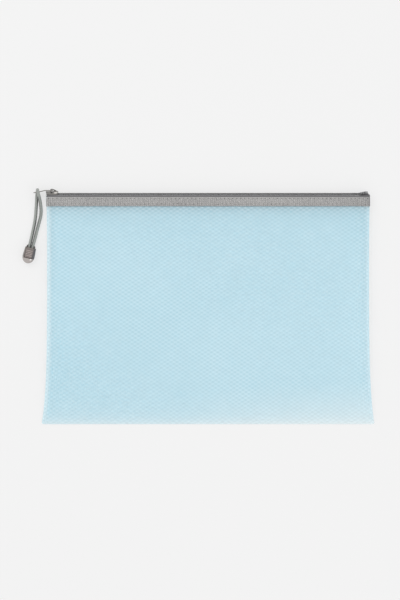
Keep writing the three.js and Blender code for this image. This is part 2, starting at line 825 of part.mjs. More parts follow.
pouch.add(named('pouch_sheet', makeSheet(), materials.sheet));
for (const [name, side] of [['front', 1], ['back', -1]]) {
  pouch.add(named(`${name}_tape`, makeTape(side, -tapeSplit, tapeSplit), materials.tape));
  pouch.add(named(`${name}_tape_left`, makeTape(side, -endX, -tapeSplit), materials.tape));
  pouch.add(named(`${name}_tape_right`, makeTape(side, tapeSplit, endX), materials.tape));
  pouch.add(named(`${name}_coil`, makeCoil(side), materials.coil));
  pouch.add(named(`${name}_core`, makeCore(side), materials.tape));
}

pouch.add(named('slider_body', makeSliderBody(), materials.slider));
pouch.add(named('slider_bail', makeBail(), materials.slider));

const link = named('puller_link', makeLink(), materials.link);
link.position.set(pivotX, pivotY, chainZ);
pouch.add(link);

pouch.add(named('pull_cord', makeCord(), materials.cord));

const grip = new THREE.Group();
grip.position.set(mouthX, mouthTop, 0);
grip.rotation.z = THREE.MathUtils.degToRad(-90 - gripTilt);
grip.add(named('tag_shell', makeGripShell(), materials.grip));
grip.add(named('tag_cover', makeGripCover(), materials.grip));
grip.add(named('cord_knot', makeKnot(), materials.cord));
pouch.add(grip);

export default pouch;
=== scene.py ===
import bpy
import math
import numpy as np
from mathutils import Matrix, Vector


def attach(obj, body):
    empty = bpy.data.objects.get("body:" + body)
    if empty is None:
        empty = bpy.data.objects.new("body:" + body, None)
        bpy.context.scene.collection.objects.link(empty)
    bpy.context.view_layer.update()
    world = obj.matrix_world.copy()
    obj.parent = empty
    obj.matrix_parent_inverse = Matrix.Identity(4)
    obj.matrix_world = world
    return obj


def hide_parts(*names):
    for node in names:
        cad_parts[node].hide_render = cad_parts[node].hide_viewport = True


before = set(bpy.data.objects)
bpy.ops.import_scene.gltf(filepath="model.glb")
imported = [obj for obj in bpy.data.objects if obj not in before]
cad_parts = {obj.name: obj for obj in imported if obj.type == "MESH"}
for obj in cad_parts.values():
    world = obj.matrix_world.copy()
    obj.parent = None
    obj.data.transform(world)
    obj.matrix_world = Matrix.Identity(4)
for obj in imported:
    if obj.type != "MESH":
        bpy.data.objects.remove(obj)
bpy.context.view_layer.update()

MM = 0.001

# Sizes as in the solids, in millimetres

# Sheet
SHEET_WIDTH = 340.0
SHEET_HEIGHT = 231.8
SHEET_THICK = 0.4
WELD_RIM = 2.5
SIDE_SLOPE = 13.0
SIDE_POWER = 2.2
FILL_DECAY = 33.0
DRAW_SHARE = 0.516
MOUTH_SPREAD = 1.1
SPREAD_DECAY = 22.0
CORNER_RADIUS = 2.0
NECK_RUN = 8.0
LEFT_OPEN_RUN = 3.0

# Tapes
TAPE_THICK = 0.5
TAPE_REACH = 9.4
TAPE_INNER_EDGE = 1.75
TAPE_BEND = 1.7
TAPE_OVER_EDGE = 0.8
TAPE_END_INSET = 0.1
TAPE_CORNER_CUT = 1.3

# Coils and the cores inside them
WIRE = 0.54
COIL_HEIGHT = 2.14
COIL_PITCH = 1.7
COIL_BACK = 2.57
COIL_INSET = 1.0
COIL_END_INSET = 0.3
HEAD_REACH = 0.87
CORE_RADIUS = 0.3
CHAIN_PROUD = 4.2
RISE_SHARE = 0.56
END_DIP = 2.6
END_DIP_RUN = 3.2

# Slider and the parting of the coils at its post
SLIDER_LENGTH = 12.4
SLIDER_OVERHANG = 0.2
FLANGE_THICK = 0.6
PLATE_TOP_Y = 119.6
POST_HALF = 0.8
PARTING_START = 0.5
PARTING_RUN = 8.0
RUN_GAP = 0.2
FIT_GAP = 0.3

# Grip: its mouth's place, and its lean in degrees
GRIP_MOUTH = (-180.347, 64.9)
GRIP_TILT = 13.9

# Sizes worked out from these
FOLD_Y = -(SHEET_HEIGHT + CHAIN_PROUD) / 2
MOUTH_Y = FOLD_Y + SHEET_HEIGHT
CHAIN_TOP_Y = MOUTH_Y + CHAIN_PROUD
TAPE_TOP_Y = CHAIN_TOP_Y - COIL_HEIGHT - RUN_GAP / 2
TAPE_PLANE_Y = TAPE_TOP_Y - TAPE_THICK / 2
TAPE_FOOT_Y = MOUTH_Y - TAPE_REACH
PARTING_MOST = HEAD_REACH + POST_HALF + RUN_GAP
SLIDER_HALF = COIL_BACK + PARTING_MOST + RUN_GAP + FLANGE_THICK
TAPE_HALF = SLIDER_HALF + FIT_GAP + TAPE_THICK / 2
MOUTH_DEPTH = 2 * (TAPE_HALF + TAPE_THICK / 2)
FOLD_DEPTH = 1.5 * SHEET_THICK
RIM_HALF = 0.75 * SHEET_THICK
CHAIN_Z = MOUTH_DEPTH / 2
TAPE_STEP = TAPE_THICK + FIT_GAP


def smooth(t):
    u = np.clip(t, 0.0, 1.0)
    return u * u * (3 - 2 * u)


# Surfaces of the pouch


def depth_at(rise):
    filled = (1 - np.exp(-rise / FILL_DECAY)) / (1 - math.exp(-SHEET_HEIGHT / FILL_DECAY))
    return FOLD_DEPTH + (MOUTH_DEPTH - FOLD_DEPTH) * filled


def half_width_at(rise):
    draw = DRAW_SHARE * (depth_at(rise) - FOLD_DEPTH)
    spread = MOUTH_SPREAD * np.exp(-(SHEET_HEIGHT - rise) / SPREAD_DECAY)
    in_corner = np.maximum(0.0, CORNER_RADIUS - rise)
    corner = CORNER_RADIUS - np.sqrt(CORNER_RADIUS**2 - in_corner**2)
    return SHEET_WIDTH / 2 - draw + spread - corner


def opening_at(inset, rise, side):
    """0 at the welded rims, 1 over the open pouch. At the mouth the left end is open too."""
    run = TAPE_REACH + LEFT_OPEN_RUN
    edge = np.where(side < 0, smooth((rise - SHEET_HEIGHT + run) / run), 0.0)
    t = np.clip((inset - WELD_RIM) / SIDE_SLOPE, 0.0, 1.0)
    return edge + (1 - edge) * (1 - (1 - t) ** SIDE_POWER)


def neck_at(rise):
    """How far each face of the sheet draws in to pass under its tape."""
    return TAPE_STEP * smooth((rise - SHEET_HEIGHT + TAPE_REACH + NECK_RUN) / NECK_RUN)


def half_depth_at(x, rise):
    inset = half_width_at(rise) - np.abs(x)
    share = opening_at(inset, rise, np.sign(x))
    return (depth_at(rise) / 2 - neck_at(rise)) * share + RIM_HALF * (1 - share)


def ridge(x, y, start, end, width):
    """1 on the line from start to end, falling smoothly to 0 at width to either side and at the ends."""
    a = np.array(start, float)
    b = np.array(end, float)
    along = (b - a) / np.linalg.norm(b - a)
    px, py = x - a[0], y - a[1]
    t = (px * along[0] + py * along[1]) / np.linalg.norm(b - a)
    off = -px * along[1] + py * along[0]
    ends = smooth(t / 0.35 + 0.25) * smooth((1 - t) / 0.35 + 0.25)
    return np.exp(-((off / width) ** 2)) * ends


def ease_in(x, rise):
    """0 along the welds, the fold and the zipper, 1 over the open panel."""
    inset = half_width_at(rise) - np.abs(x)
    return smooth((inset - 3) / 20) * smooth((rise - 2) / 26) * smooth((SHEET_HEIGHT - 16 - rise) / 34)


# Soft creases of the front sheet: height, start, end and half width
CREASES = [
    (0.75, (34, 52), (-34, -28), 9),
    (-0.55, (48, 40), (-20, -42), 13),
    (0.85, (-100, 30), (-152, -88), 10),
    (-0.5, (-82, 30), (-134, -92), 14),
    (0.45, (120, 70), (152, -40), 12),
    (0.4, (60, -96), (140, -70), 14),
]


def front_waves(x, rise):
    """How far the front sheet leaves its even shape: its creases and two shallow swells."""
    y = FOLD_Y + rise
    h = sum(height * ridge(x, y, start, end, width) for height, start, end, width in CREASES)
    h += 0.22 * np.sin(x / 31 + 0.8 + 0.6 * np.sin(y / 44)) * np.cos(y / 37 + 0.4)
    h += 0.1 * np.sin(x / 13.7 + y / 19 + 1.9)
    return h * ease_in(x, rise)


def back_waves(x, rise):
    """The back sheet lies on the table and lifts from it in shallow waves only."""
    y = FOLD_Y + rise
    h = 0.25 * (1 + np.sin(x / 41 + 2.1) * np.cos(y / 33 + 0.7))
    return h * ease_in(x, rise)


def sheet_z(x, rise, side, inward):
    """Height of the front (side 1) or back (side -1) sheet, inward millimetres below its outer face."""
    half = half_depth_at(x, rise) - inward
    z = depth_at(rise) / 2 + side * half
    return z + np.where(side > 0, front_waves(x, rise), back_waves(x, rise))


# Meshes


def add_mesh(name, points_mm, faces, material, body):
    mesh = bpy.data.meshes.new(name)
    points = np.asarray(points_mm, float) * MM
    mesh.from_pydata(points.tolist(), [], [tuple(int(i) for i in f) for f in faces])
    mesh.update()
    mesh.polygons.foreach_set("use_smooth", np.ones(len(mesh.polygons), bool))
    obj = bpy.data.objects.new(name, mesh)
    bpy.context.scene.collection.objects.link(obj)
    obj.data.materials.append(material)
    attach(obj, body)
    return obj


def store(obj, name, values):
    """Keeps one number for each point of a mesh, for its material."""
    made = obj.data.attributes.new(name, "FLOAT", "POINT")
    made.data.foreach_set("value", np.asarray(values, np.float32))


def grid_faces(n, m, start=0, flip=False):
    i, j = np.meshgrid(np.arange(n - 1), np.arange(m - 1), indexing="ij")
    a = start + i * m + j
    quads = np.stack([a, a + m, a + m + 1, a + 1], -1).reshape(-1, 4)
    return quads[:, ::-1] if flip else quads


def tube_faces(rings, sides, start=0):
    """The faces of a closed tube whose rings of points follow each other."""
    r, s = np.meshgrid(np.arange(rings - 1), np.arange(sides), indexing="ij")
    a = start + r * sides + s
    b = start + r * sides + (s + 1) % sides
    quads = np.stack([a, b, b + sides, a + sides], -1).reshape(-1, 4).tolist()
    quads.append([start + k for k in range(sides)][::-1])
    quads.append([start + (rings - 1) * sides + k for k in range(sides)])
    return quads


def slab_mesh(top, bottom):
    """A closed solid between two grids of points [n][m][3]."""
    n, m = top.shape[:2]
    points = np.concatenate([top.reshape(-1, 3), bottom.reshape(-1, 3)])
    base = n * m
    faces = grid_faces(n, m).tolist() + grid_faces(n, m, base, flip=True).tolist()
    t = np.arange(n * m).reshape(n, m)
    b = t + base
    for i in range(n - 1):
        faces.append([t[i, 0], b[i, 0], b[i + 1, 0], t[i + 1, 0]])
        faces.append([t[i, -1], t[i + 1, -1], b[i + 1, -1], b[i, -1]])
    for j in range(m - 1):
        faces.append([t[0, j], t[0, j + 1], b[0, j + 1], b[0, j]])
        faces.append([t[-1, j], b[-1, j], b[-1, j + 1], t[-1, j + 1]])
    return points, faces


def frames_along(path):
    """Unit tangents and two normals that don't twist along a line of points."""
    tangents = np.gradient(path, axis=0)
    tangents /= np.linalg.norm(tangents, axis=1)[:, None]
    up = np.array([0.0, 0.0, 1.0])
    first = up - tangents[0] * up.dot(tangents[0])
    normals = [first / np.linalg.norm(first)]
    for t in tangents[1:]:
        n = normals[-1] - t * normals[-1].dot(t)
        normals.append(n / np.linalg.norm(n))
    normals = np.array(normals)
    return tangents, normals, np.cross(tangents, normals)


def tube_points(path, radius, sides):
    _, n, b = frames_along(path)
    turn = 2 * math.pi * np.arange(sides) / sides
    r = np.broadcast_to(np.asarray(radius, float), (len(path),))[:, None, None]
    ring = np.cos(turn)[None, :, None] * n[:, None, :] + np.sin(turn)[None, :, None] * b[:, None, :]
    return (path[:, None, :] + r * ring).reshape(-1, 3)


def add_tubes(name, paths, radius, sides, material, body):
    points, faces, start = [], [], 0
    for path in paths:
        points.append(tube_points(np.asarray(path, float), radius, sides))
        faces += tube_faces(len(path), sides, start)
        start += len(path) * sides
    return add_mesh(name, np.concatenate(points), faces, material, body)


# Materials


def srgb(r, g, b):
    """Linear colour of 0 to 255 screen values."""
    values = []
    for v in (r, g, b):
        c = v / 255
        values.append(c / 12.92 if c <= 0.04045 else ((c + 0.055) / 1.055) ** 2.4)
    return (*values, 1.0)


class Nodes:
    """Short calls for building a material's nodes."""

    def __init__(self, name):
        self.material = bpy.data.materials.new(name)
        self.material.use_nodes = True
        self.tree = self.material.node_tree
        self.shader = self.tree.nodes["Principled BSDF"]
        self.place = self.tree.nodes.new("ShaderNodeTexCoord").outputs["Object"]

    def node(self, kind, values=None, **settings):
        made = self.tree.nodes.new(kind)
        for key, value in settings.items():
            setattr(made, key, value)
        for key, value in (values or {}).items():
            if isinstance(value, bpy.types.NodeSocket):
                self.tree.links.new(value, made.inputs[key])
            else:
                made.inputs[key].default_value = value
        return made

    def math(self, operation, a, b=0.0):
        return self.node("ShaderNodeMath", {0: a, 1: b}, operation=operation).outputs[0]

    def scaled(self, scale, turn=(0, 0, 0)):
        values = {"Vector": self.place, "Scale": scale, "Rotation": turn}
        return self.node("ShaderNodeMapping", values).outputs["Vector"]

    def noise(self, scale, detail=3.0, vector=None):
        values = {"Vector": vector or self.place, "Scale": scale, "Detail": detail}
        return self.node("ShaderNodeTexNoise", values).outputs["Fac"]

    def wave(self, pitch, direction, distortion):
        """Even bands, pitch millimetres apart, swayed by the distortion."""
        values = {"Vector": self.place, "Scale": math.pi / (10 * pitch * MM), "Distortion": distortion}
        settings = {"wave_type": "BANDS", "bands_direction": direction, "wave_profile": "SIN"}
        return self.node("ShaderNodeTexWave", values, **settings).outputs["Fac"]

    def fade(self, value, start, end, first=0.0, last=1.0):
        """Runs evenly from first to last while the value runs from start to end, and holds outside."""
        return self.node("ShaderNodeMapRange", {0: value, 1: start, 2: end, 3: first, 4: last}).outputs[0]

    def ramp(self, factor, stops):
        made = self.node("ShaderNodeValToRGB", {"Fac": factor})
        elements = made.color_ramp.elements
        while len(elements) < len(stops):
            elements.new(0.5)
        for element, (position, colour) in zip(elements, stops):
            element.position = position
            element.color = colour
        return made.outputs["Color"]

    def grey_ramp(self, factor, stops):
        return self.ramp(factor, [(p, (v, v, v, 1)) for p, v in stops])

    def mix(self, factor, a, b, kind="MIX"):
        made = self.node("ShaderNodeMix", data_type="RGBA", blend_type=kind)
        for socket, value in ((made.inputs[0], factor), (made.inputs[6], a), (made.inputs[7], b)):
            if isinstance(value, bpy.types.NodeSocket):
                self.tree.links.new(value, socket)
            else:
                socket.default_value = value
        return made.outputs[2]

    def spot(self, x, y, along, across, turn=0.0):
        """1 at a point of the object's plan (millimetres), falling to 0 at its reach each way."""
        c, s = math.cos(turn), math.sin(turn)
        turned = self.node("ShaderNodeMapping", {"Vector": self.place, "Rotation": (0, 0, -turn)})
        values = {
            "Vector": turned.outputs["Vector"],
            "Scale": (1 / MM / along, 1 / MM / across, 0.0),
            "Location": (-(c * x + s * y) / along, (s * x - c * y) / across, 0.0),
        }
        offset = self.node("ShaderNodeMapping", values).outputs["Vector"]
        far = self.node("ShaderNodeVectorMath", {0: offset}, operation="LENGTH").outputs["Value"]
        return self.fade(far, 0.35, 1.0, 1.0, 0.0)

    def attribute(self, name):
        return self.node("ShaderNodeAttribute", attribute_name=name).outputs["Fac"]

    def bump(self, height, relief, strength):
        """Fine relief, in millimetres."""
        values = {"Height": height, "Distance": relief * MM, "Strength": strength}
        self.set(Normal=self.node("ShaderNodeBump", values).outputs["Normal"])

    def set(self, **values):
        for key, value in values.items():
            socket = self.shader.inputs[key.replace("_", " ")]
            if isinstance(value, bpy.types.NodeSocket):
                self.tree.links.new(value, socket)
            else:
                socket.default_value = value


# Film: the scrim's two families of yarns, as waves per millimetre across and up the sheet
SCRIM_WAVES = [(-0.1605, -0.2375), (0.1578, -0.2575)]
SCRIM_YARN = (0.04, 0.42)
SCRIM_LEVEL = 0.6
BACK_SCRIM = 0.4
SCRIM_TINT = 0.37
FILM_ALPHA = 0.43
SCRIM_ALPHA = 0.1
INSIDE_ALPHA = 0.04
GRAIN_RELIEF = 0.06


def scrim_lines(m, mirrored):
    """The woven scrim inside the sheet: high on its yarns, 0 between them. Mirrored is 1 or -1."""
    families = []
    for kx, ky in SCRIM_WAVES:
        wave = (mirrored * kx / MM, ky / MM, 0.0)
        along = m.node("ShaderNodeVectorMath", {0: m.place, 1: wave}, operation="DOT_PRODUCT")
        phase = m.math("FRACT", along.outputs["Value"])
        off = m.math("ABSOLUTE", m.math("SUBTRACT", phase, 0.5))
        families.append(m.fade(off, *SCRIM_YARN, 1.0, 0.0))
    return m.math("MULTIPLY", m.math("ADD", *families), SCRIM_LEVEL)


def film_tint(m):
    """Tinted vinyl: paler along the welds, paler towards the fold's right corner as painted light, darker
    by the tape as a painted shadow.
    """
    cloud = m.noise(9.0, 4.0)
    tint = m.ramp(cloud, [(0.3, srgb(163, 222, 241)), (0.7, srgb(174, 228, 246))])
    # Painted shadow of the tape on the film below it.
    tint = m.mix(m.attribute("painted_tape_shadow"), tint, srgb(120, 172, 190))
    # Pale welds, and painted light towards the fold and its right corner.
    return m.mix(m.attribute("weld_pale_and_painted_light"), tint, srgb(238, 252, 255))


def film_material():
    """The sheet's outer faces, with the scrim's pale yarns showing through the vinyl."""
    m = Nodes("vinyl_film")
    back = m.attribute("back")
    front_yarns = m.math("MULTIPLY", scrim_lines(m, 1), m.math("SUBTRACT", 1.0, back))
    back_yarns = m.math("MULTIPLY", scrim_lines(m, -1), m.math("MULTIPLY", back, BACK_SCRIM))
    yarns = m.math("ADD", front_yarns, back_yarns)
    uneven = m.grey_ramp(m.noise(60.0, 3.0), [(0.3, 0.7), (0.7, 1.0)])
    yarns = m.math("MULTIPLY", yarns, uneven)
    tint = m.mix(m.math("MULTIPLY", yarns, SCRIM_TINT), film_tint(m), srgb(228, 248, 255))
    alpha = m.math("ADD", FILM_ALPHA, m.math("MULTIPLY", yarns, SCRIM_ALPHA))
    m.set(Base_Color=tint, Roughness=0.34, Alpha=alpha, IOR=1.46, Specular_IOR_Level=0.35)
    grain = m.noise(900.0, 2.0)
    m.bump(m.math("ADD", yarns, m.math("MULTIPLY", grain, 0.3)), GRAIN_RELIEF, 0.3)
    return m.material


def film_inside_material():
    """The sheet's inner faces, nearly clear, so that the colour comes from the outer ones."""
    m = Nodes("vinyl_film_inside")
    m.set(Base_Color=film_tint(m), Roughness=0.4, Alpha=INSIDE_ALPHA, IOR=1.46)
    m.bump(m.noise(900.0, 2.0), GRAIN_RELIEF, 0.5)
    return m.material


# Flat dark discs over the needle holes: painted shade of the holes.
def hole_material():
    m = Nodes("needle_holes")
    tone = m.ramp(m.noise(900.0, 2.0), [(0.3, srgb(62, 61, 60)), (0.75, srgb(84, 82, 80))])
    m.set(Base_Color=tone, Roughness=0.9)
    return m.material


# Weave of the tape and twist of the thread
RIB_PITCH = 2.17021
WEFT_PITCH = 1.18375
TWIST_PITCH = 0.69052
WEAVE_RELIEF = 0.12


def tape_material():
    """Woven polyester, speckled along a slant, with a painted highlight line and a painted shade line by
    the chain, and painted shade at the right end.
    """
    m = Nodes("zip_tape")
    rib = m.wave(RIB_PITCH, "X", 0.4)
    weft = m.wave(WEFT_PITCH, "DIAGONAL", 0.6)
    weave = m.math("MULTIPLY", rib, weft)
    fibre = m.noise(2400.0, 2.0)
    height = m.math("ADD", weave, m.math("MULTIPLY", fibre, 0.4))
    tone = m.ramp(height, [(0.1, srgb(162, 162, 161)), (0.8, srgb(200, 199, 199))])
    slant = m.noise(760.0, 2.0, m.scaled((1.0, 2.2, 1.0), (0, 0, 0.9)))
    mottle = m.ramp(slant, [(0.37, srgb(192, 192, 193)), (0.63, srgb(255, 254, 253))])
    tone = m.mix(1.0, tone, mottle, "MULTIPLY")
    cloud = m.ramp(m.noise(9.0, 1.0), [(0.35, srgb(236, 236, 236)), (0.65, srgb(255, 255, 255))])
    tone = m.mix(1.0, tone, cloud, "MULTIPLY")
    # Painted highlight where the tape bends over below the chain.
    tone = m.mix(m.attribute("painted_edge_highlight"), tone, srgb(196, 195, 193))
    # Painted shade under the coil and at the folded right end.
    tone = m.mix(m.attribute("painted_edge_shade"), tone, srgb(103, 102, 104))
    m.set(Base_Color=tone, Roughness=0.85, Sheen_Weight=0.25)
    m.bump(height, WEAVE_RELIEF, 0.8)
    return m.material


# Coil tones from the tape's edge out to the top of the chain: painted shadow low by the tape, a painted
# highlight across the middle, dark nylon at the top
COIL_TONES = [
    (0.0, srgb(100, 100, 102)),
    (0.35, srgb(150, 150, 152)),
    (0.6, srgb(140, 140, 142)),
    (0.85, srgb(80, 80, 83)),
]


def coil_material():
    m = Nodes("coil_nylon")
    grain = m.ramp(m.noise(700.0, 3.0), [(0.3, srgb(226, 226, 228)), (0.75, srgb(255, 255, 255))])
    tone = m.mix(1.0, m.ramp(m.attribute("level"), COIL_TONES), grain, "MULTIPLY")
    m.set(Base_Color=tone, Roughness=0.42)
    m.bump(m.noise(3000.0, 2.0), 0.03, 0.4)
    return m.material


def thread_material():
    m = Nodes("sewing_thread")
    twist = m.wave(TWIST_PITCH, "DIAGONAL", 0.5)
    tone = m.ramp(twist, [(0.1, srgb(158, 157, 155)), (0.9, srgb(206, 204, 201))])
    tone = m.mix(m.attribute("shaded"), tone, srgb(92, 92, 94))
    m.set(Base_Color=tone, Roughness=0.75)
    m.bump(twist, 0.05, 0.8)
    return m.material


# Metal, enamel and moulded plastic
WEAR_RELIEF = 0.04
MOULD_RELIEF = 0.05

# Painted highlights and painted shade on the slider and the grip: place, reach along and across, and turn
SHOULDER_HIGHLIGHT = (-155.2, 118.1, 2.6, 1.0, 0.1)
BAIL_FOOT_SHADE = (-159.6, 118.3, 1.5, 1.5)
SLOT_CORNER_SHADE = (-165.0, 115.6, 1.4, 1.9)
GRIP_END_HIGHLIGHT = (-180.7, 50.3, 1.0, 2.1, -0.75)


def metal_material(name, low, high, rough, metal, marks=()):
    """Stained and finely scratched metal or enamel, with any marks as pairs of a spot and its colour."""
    m = Nodes(name)
    stain = m.noise(420.0, 4.0)
    tone = m.ramp(stain, [(0.3, low), (0.75, high)])
    for spot, colour in marks:
        tone = m.mix(m.spot(*spot), tone, colour)
    scratch = m.noise(260.0, 3.0, m.scaled((1.0, 12.0, 1.0)))
    m.set(Base_Color=tone, Metallic=metal)
    m.set(Roughness=m.grey_ramp(scratch, [(0.3, rough - 0.08), (0.75, rough + 0.1)]))
    m.bump(m.math("ADD", stain, scratch), WEAR_RELIEF, 0.35)
    return m.material


def slider_material():
    """Grey enamel, with a painted highlight on the shoulder and painted shade round the bail's foot and
    in the slot's corner.
    """
    marks = [
        # A painted highlight on the shoulder, then painted shade by the bail's foot and in the slot's
        # corner.
        (SHOULDER_HIGHLIGHT, srgb(226, 222, 217)),
        (BAIL_FOOT_SHADE, srgb(52, 50, 49)),
        (SLOT_CORNER_SHADE, srgb(48, 46, 45)),
    ]
    return metal_material("slider_enamel", srgb(112, 110, 108), srgb(136, 133, 130), 0.36, 0.4, marks)


def cord_material():
    """Braided polyester, with painted shade between its strands and where the cord's two halves lie
    together.
    """
    m = Nodes("braided_cord")
    fibre = m.noise(2600.0, 2.0)
    height = m.attribute("braid")
    # Darker where the braid lies low between its strands: painted shade.
    strands = [(0.0, srgb(84, 88, 84)), (0.45, srgb(134, 138, 134)), (1.0, srgb(176, 180, 176))]
    tone = m.ramp(height, strands)
    tone = m.mix(0.25, tone, m.ramp(fibre, [(0.3, srgb(110, 113, 110)), (0.7, srgb(180, 183, 180))]))
    # Painted shade where the cord's two halves lie together.
    tone = m.mix(m.attribute("painted_groove_shade"), tone, srgb(70, 73, 70))
    m.set(Base_Color=tone, Roughness=0.8, Sheen_Weight=0.3)
    m.bump(fibre, 0.06, 0.6)
    return m.material


# Stretches of the grip over which a tone comes in, along its axes
GRIP_END = (12.8, 14.6)
GRIP_NECK = (3.2, 1.2)
GRIP_WALL = (4.1, 4.9)
COVER_FOOT = (12.6, 13.3)
COVER_SIDE = (2.4, 3.6)
COVER_RIBS = (6.7, 6.98)


def tag_axes(m):
    """The grip's own axes, in millimetres: along it from its mouth, across it and up, then all three."""
    turn = math.radians(90 + GRIP_TILT)
    c, s = math.cos(turn), math.sin(turn)
    x, y = GRIP_MOUTH
    values = {
        "Vector": m.place,
        "Scale": (1 / MM, 1 / MM, 1 / MM),
        "Rotation": (0, 0, turn),
        "Location": (s * y - c * x, -s * x - c * y, 0.0),
    }
    local = m.node("ShaderNodeMapping", values).outputs["Vector"]
    split = m.node("ShaderNodeSeparateXYZ", {0: local})
    return split.outputs[0], split.outputs[1], split.outputs[2], local


def shell_material():
    """Moulded plastic: painted shade along its right wall, dark at the neck, paler and glossier on the
    round end, with a painted highlight there.
    """
    m = Nodes("tag_soft")
    along, across, _, _ = tag_axes(m)
    tone = m.ramp(m.noise(160.0, 3.0), [(0.3, srgb(118, 113, 110)), (0.75, srgb(136, 130, 127))])
    end = m.fade(along, *GRIP_END)
    tone = m.mix(end, tone, srgb(166, 160, 157))
    # Painted shade along the right wall.
    wall = m.fade(across, *GRIP_WALL)
    upper = m.math("SUBTRACT", 1.0, end)
    tone = m.mix(m.math("MULTIPLY", wall, upper), tone, srgb(84, 85, 89))
    # A painted highlight on the round end.
    tone = m.mix(m.spot(*GRIP_END_HIGHLIGHT), tone, srgb(236, 233, 231))
    neck = m.fade(along, *GRIP_NECK)
    tone = m.mix(m.math("MULTIPLY", neck, 0.7), tone, srgb(70, 67, 66))
    m.set(Base_Color=tone, Roughness=m.grey_ramp(end, [(0.0, 0.45), (1.0, 0.2)]))
    m.bump(m.noise(1500.0, 3.0), MOULD_RELIEF, 0.5)
    return m.material


def cover_material():
    """The ribbed insert: paler in patches on the tops of the ribs, dark between them and at its lower
    edge, with painted shade along its right side.
    """
    m = Nodes("tag_cover_soft")
    along, across, up, local = tag_axes(m)
    rib = m.fade(up, *COVER_RIBS)
    stretched = m.node("ShaderNodeMapping", {"Vector": local, "Scale": (1.4, 0.8, 1.0)})
    rib_patches = m.noise(0.55, 3.0, stretched.outputs["Vector"])
    pale_rib_tops = m.math("MULTIPLY", rib, m.grey_ramp(rib_patches, [(0.35, 0.35), (0.6, 1.0)]))
    tone = m.ramp(m.noise(160.0, 3.0), [(0.3, srgb(108, 101, 98)), (0.75, srgb(124, 116, 112))])
    tone = m.mix(pale_rib_tops, tone, srgb(172, 160, 156))
    # Painted shade along the insert's right side.
    side = m.fade(across, *COVER_SIDE)
    tone = m.mix(m.math("MULTIPLY", side, 0.7), tone, srgb(92, 91, 94))
    foot = m.fade(along, *COVER_FOOT)
    tone = m.mix(m.math("MULTIPLY", foot, 0.85), tone, srgb(72, 60, 58))
    m.set(Base_Color=tone, Roughness=0.5)
    m.bump(m.noise(1500.0, 3.0), MOULD_RELIEF, 0.5)
    return m.material


FILM = film_material()
FILM_INSIDE = film_inside_material()
HOLE = hole_material()
TAPE = tape_material()
COIL = coil_material()
THREAD = thread_material()
SLIDER = slider_material()
SPRING = metal_material("spring_steel", srgb(96, 94, 92), srgb(126, 124, 121), 0.3, 0.6)
LINK = metal_material("link_metal", srgb(128, 125, 121), srgb(158, 155, 150), 0.3, 0.75)
CORD = cord_material()
TAG = shell_material()
TAG_COVER = cover_material()

# Vinyl sheet


def sheet_columns():
    """Insets from the side, close together there, and shares of the width between the innermost two."""
    inset = np.concatenate([[0, 0.25, 0.8, 1.6], np.linspace(WELD_RIM, WELD_RIM + SIDE_SLOPE + 2, 22)])
    middle = np.linspace(-1, 1, 112)[1:-1]
    return inset, middle


def sheet_grid(rises, side, inward):
    inset, middle = sheet_columns()
    half = half_width_at(rises)[None, :]
    left = -half + inset[:, None]
    core = middle[:, None] * (half - inset[-1])
    x = np.concatenate([left, core, -left[::-1]])
    rise = np.broadcast_to(rises[None, :], x.shape)
    z = sheet_z(x, rise, side, inward)
    return np.stack([x, FOLD_Y + rise, z], -1), x, rise


def sheet_rises():
    low = np.array([0, 0.15, 0.35, 0.7, 1.2, 2, 3, 4.4, 6, 8, 10.5, 13])
    middle = np.linspace(16, SHEET_HEIGHT - TAPE_REACH - NECK_RUN, 72)
    high = SHEET_HEIGHT - TAPE_REACH - NECK_RUN + np.linspace(0, TAPE_REACH + NECK_RUN, 24)[1:]
    return np.concatenate([low, middle, high])


# How much the film pales, as shares of the way to its pale colour, and over what reach. The paleness low
# on the sheet, at its right corner and at the fold is painted light.
LEFT_WELD_PALE = 0.38
RIGHT_WELD_PALE = 0.16
WELD_FADE = 3.5
LOWER_PALE = 0.07
CORNER_PALE = 0.35
CORNER_RISE = 55
FOLD_PALE = [(0.45, 5.0), (0.2, 20.0)]
# How much it darkens below the tape, as a painted shadow of the tape. Both are pairs of a share and the
# reach over which it dies away.
TAPE_SHADOW = [(0.7, 3.5), (0.18, 22.0)]


def dying_away(distance, shares):
    """The sum of the shares, each grown smaller with the distance."""
    return sum(share * np.exp(-distance / reach) for share, reach in shares)


def paleness(x, rise):
    """How far the film pales: along the welds, and towards the fold and its right corner, these last two
    as painted light.
    """
    inset = half_width_at(rise) - np.abs(x)
    weld_pale = np.where(x < 0, LEFT_WELD_PALE, RIGHT_WELD_PALE)
    welds = (1 - smooth((inset - WELD_RIM + 0.5) / WELD_FADE)) * weld_pale
    lower = LOWER_PALE * smooth((SHEET_HEIGHT - 12 - rise) / 60) * (0.6 + 0.4 * smooth((x + 150) / 90))
    corner = CORNER_PALE * smooth((x + 90) / 240) * smooth((CORNER_RISE - rise) / 50)
    fold = dying_away(rise, FOLD_PALE)
    return np.maximum(welds + lower, np.minimum(corner + fold, 1.0))


def tape_shade(rise):
    """How far the film darkens below the tape: a painted shadow of the tape."""
    return dying_away(np.maximum(SHEET_HEIGHT - TAPE_REACH - rise, 0), TAPE_SHADOW)


